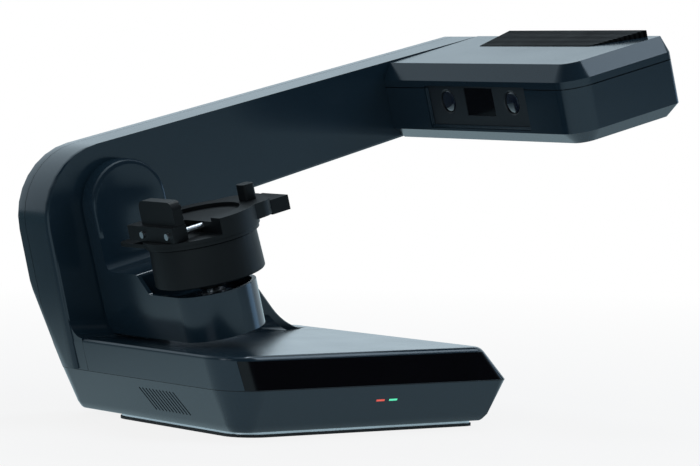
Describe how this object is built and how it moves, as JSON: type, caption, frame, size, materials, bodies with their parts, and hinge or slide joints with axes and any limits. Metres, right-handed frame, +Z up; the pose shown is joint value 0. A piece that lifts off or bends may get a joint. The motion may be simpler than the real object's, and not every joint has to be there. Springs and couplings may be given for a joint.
{
  "type": "desktop 3d scanner",
  "caption": "Desktop 3D scanner: low base, leaning C-shaped frame with an optical head, and a swinging bracket that carries a turntable with a model clamp.",
  "frame": {"origin": "on the table, under the middle of the base's footprint", "axes": "+X to the right along the base's front, towards the head; +Y to the rear; +Z up"},
  "size_m": [0.4067, 0.2838, 0.2914],
  "materials": {
    "shell": "satin, dark blue-grey",
    "gloss_black": "glossy black",
    "dark_plastic": "matte black",
    "matte_black": "matte black, fine texture",
    "rubber_mat": "matte",
    "steel": "plain",
    "alloy": "cast and machined",
    "motor": "black",
    "board": "green solder mask",
    "window_glass": "dark coated",
    "light_red": "diffusing",
    "light_green": "diffusing"
  },
  "bodies": {
    "frame": {"foot_mat": "rubber_mat", "bottom_plate": "steel", "lower_shell": "shell", "base_cover": "shell", "front_fascia": "gloss_black", "ballast": "steel", "main_board": "board", "light_pipe_red": "light_red", "light_pipe_green": "light_green", "frame_shell": "shell", "frame_back_cover": "shell", "back_screws": "steel", "spine_plate": "steel", "bearing_housing": "alloy", "swing_motor": "motor", "power_inlet": "dark_plastic", "data_port": "dark_plastic", "switch_body": "dark_plastic", "head_housing": "shell", "head_cover": "shell", "vent_grille": "gloss_black", "window_panel": "dark_plastic", "camera_windows": "window_glass", "projector_window": "window_glass", "camera_left": "dark_plastic", "camera_right": "dark_plastic", "projector": "dark_plastic", "heat_sink": "alloy", "optics_plate": "alloy"},
    "swing": {"swing_bracket": "shell", "swing_shaft": "steel", "foot_cover": "dark_plastic", "turntable_motor": "motor", "turntable_bearing": "steel"},
    "turntable": {"turntable_drum": "matte_black", "spindle": "steel", "holder_plate": "matte_black", "model_tray": "matte_black", "stop_pin": "matte_black", "wing_block": "matte_black", "guide_rods": "steel"},
    "jaw": {"moving_jaw": "matte_black"},
    "button": {"power_button": "dark_plastic"}
  },
  "joints": [
    {"name": "swing", "type": "hinge", "parent": "frame", "child": "swing", "pos_m": [-0.0875, 0.075, 0.1595], "axis": [0, 1, 0], "range_deg": [-30, 90]},
    {"name": "turntable_spin", "type": "hinge", "parent": "swing", "child": "turntable", "pos_m": [-0.0875, -0.026, 0.1595], "axis": [-0.2504, 0, 0.9681], "continuous": true},
    {"name": "jaw_slide", "type": "slide", "parent": "turntable", "child": "jaw", "axis": [0.9681, 0, 0.2504], "range_m": [-0.002, 0.015]},
    {"name": "power_button_push", "type": "slide", "parent": "frame", "child": "button", "axis": [0, -1, 0], "range_m": [0, 0.0015], "stiffness_N_per_m": 600}
  ]
}
